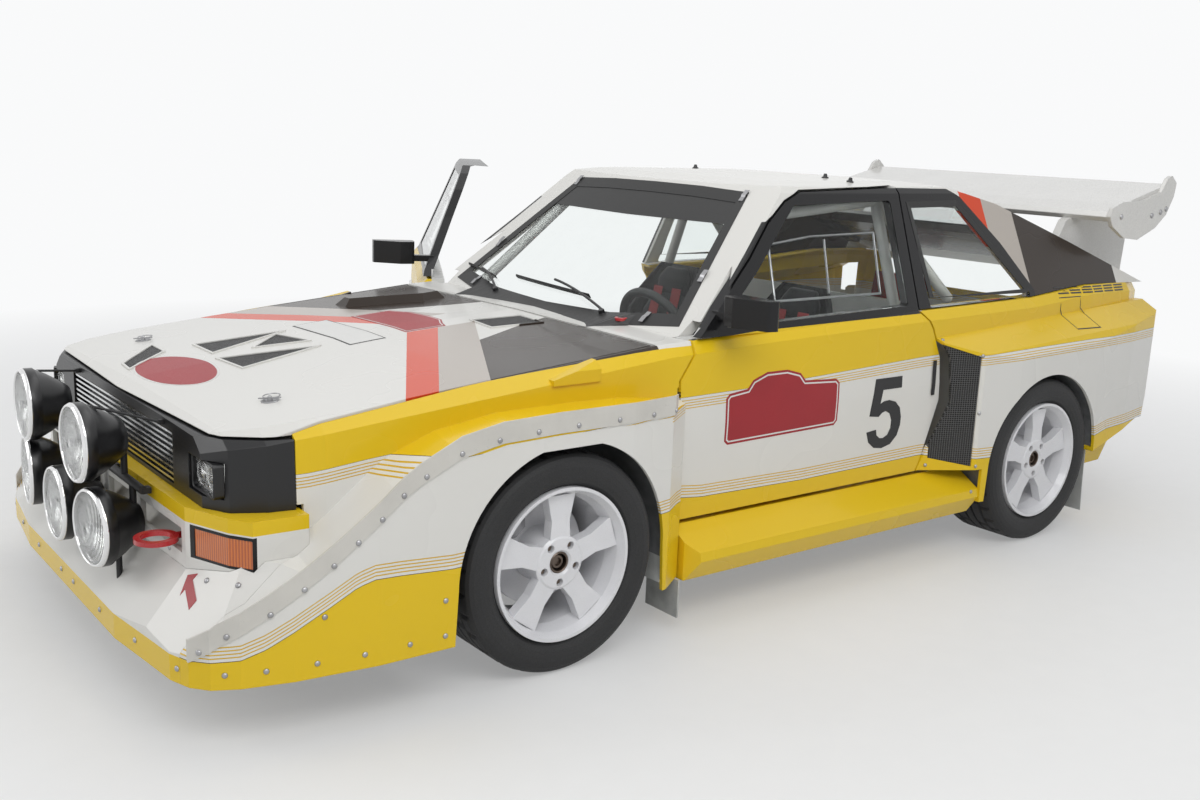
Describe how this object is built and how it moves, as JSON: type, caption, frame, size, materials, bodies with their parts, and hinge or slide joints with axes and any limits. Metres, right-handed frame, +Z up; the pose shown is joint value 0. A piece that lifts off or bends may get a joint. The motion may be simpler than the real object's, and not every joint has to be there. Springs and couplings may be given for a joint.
{
  "type": "rally car",
  "caption": "Two-door rally coupe with box flares, a low air dam with driving lamps, five-spoke wheels and a tall rear wing; doors, hood and tail lid open, wheels turn and steer.",
  "frame": {"origin": "middle of the footprint at rest, right door open, on the floor", "axes": "+X forward, +Y to the car's left, +Z up"},
  "size_m": [4.2776, 2.8354, 1.3787],
  "materials": {
    "body_paint": "gloss white",
    "black_panel": "matt black",
    "yellow_paint": "gloss yellow",
    "clear_glass": "clear",
    "lamp_glass": "clear",
    "tyre_rubber": "matt",
    "wheel_paint": "satin white",
    "floor_metal": "satin",
    "engine_metal": "rough",
    "bare_steel": "satin",
    "chrome_trim": "polished",
    "seat_cloth": "woven",
    "dark_plastic": "grained",
    "red_lens": "gloss",
    "wing_paint": "gloss white"
  },
  "bodies": {
    "chassis": {"floor_pan": "floor_metal", "bulkheads": "floor_metal", "front_fenders": "body_paint", "rear_quarters": "body_paint", "roof_frame": "body_paint", "cowl": "black_panel", "nose_panel": "black_panel", "rear_panel": "black_panel", "windscreen": "clear_glass", "rear_windows": "clear_glass", "front_bumper": "body_paint", "air_dam": "body_paint", "grille": "chrome_trim", "head_lamps": "lamp_glass", "driving_lamps": "lamp_glass", "lamp_bar": "bare_steel", "running_boards": "yellow_paint", "dashboard": "dark_plastic", "roll_cage": "wheel_paint", "seats": "seat_cloth", "engine_block": "engine_metal", "suspension": "bare_steel", "exhaust": "bare_steel", "tail_lamps": "red_lens", "tow_eyes": "red_lens", "side_grilles": "dark_plastic", "deflector_strips": "wheel_paint", "wheel_housings": "floor_metal", "rear_bumper": "body_paint"},
    "door_left": {"door_left": "body_paint", "door_glass_left": "clear_glass"},
    "door_right": {"door_right": "body_paint", "door_glass_right": "clear_glass"},
    "hood": {"hood": "body_paint"},
    "tail_lid": {"tail_lid": "body_paint", "wing": "wing_paint"},
    "knuckle_left": {"knuckle_left": "bare_steel"},
    "knuckle_right": {"knuckle_right": "bare_steel"},
    "steering_wheel": {"steering_wheel": "dark_plastic"},
    "wheel_front_left": {"rim_front_left": "wheel_paint", "tyre_front_left": "tyre_rubber"},
    "wheel_front_right": {"rim_front_right": "wheel_paint", "tyre_front_right": "tyre_rubber"},
    "wheel_rear_left": {"rim_rear_left": "wheel_paint", "tyre_rear_left": "tyre_rubber"},
    "wheel_rear_right": {"rim_rear_right": "wheel_paint", "tyre_rear_right": "tyre_rubber"}
  },
  "joints": [
    {"name": "wheel_front_left_spin", "type": "hinge", "parent": "knuckle_left", "child": "wheel_front_left", "pos_m": [1.04149, 1.23321, 0.314], "axis": [0, 1, 0], "continuous": true},
    {"name": "wheel_front_right_spin", "type": "hinge", "parent": "knuckle_right", "child": "wheel_front_right", "pos_m": [1.04149, -0.34479, 0.314], "axis": [0, 1, 0], "continuous": true},
    {"name": "wheel_rear_left_spin", "type": "hinge", "parent": "chassis", "child": "wheel_rear_left", "pos_m": [-1.18251, 1.23321, 0.314], "axis": [0, 1, 0], "continuous": true},
    {"name": "wheel_rear_right_spin", "type": "hinge", "parent": "chassis", "child": "wheel_rear_right", "pos_m": [-1.18251, -0.34479, 0.314], "axis": [0, 1, 0], "continuous": true},
    {"name": "steer_left", "type": "hinge", "parent": "chassis", "child": "knuckle_left", "pos_m": [1.04149, 1.16921, 0.314], "axis": [0, 0, 1], "range_deg": [-30, 30]},
    {"name": "steer_right", "type": "hinge", "parent": "chassis", "child": "knuckle_right", "pos_m": [1.04149, -0.28079, 0.314], "axis": [0, 0, 1], "range_deg": [-30, 30]},
    {"name": "steering_wheel_turn", "type": "hinge", "parent": "chassis", "child": "steering_wheel", "pos_m": [0.26949, 0.79421, 0.8], "axis": [-0.9135, 0, 0.4067], "range_deg": [-360, 360]},
    {"name": "door_left_hinge", "type": "hinge", "parent": "chassis", "child": "door_left", "pos_m": [0.54149, 1.23221, 0.6], "axis": [0, 0, -1], "range_deg": [0, 65]},
    {"name": "door_right_hinge", "type": "hinge", "parent": "chassis", "child": "door_right", "pos_m": [0.54149, -0.34379, 0.6], "axis": [0, 0, 1], "range_deg": [-62, 3]},
    {"name": "hood_hinge", "type": "hinge", "parent": "chassis", "child": "hood", "pos_m": [0.67949, 0.44421, 0.834], "axis": [0, -1, 0], "range_deg": [0, 50]},
    {"name": "tail_lid_hinge", "type": "hinge", "parent": "chassis", "child": "tail_lid", "pos_m": [-1.56801, 0.44421, 1.11986], "axis": [0, 1, 0], "range_deg": [0, 35]}
  ],
  "couplings": [
    {"joint": "steer_right", "follows": "steer_left", "ratio": 1},
    {"joint": "steering_wheel_turn", "follows": "steer_left", "ratio": 12}
  ]
}
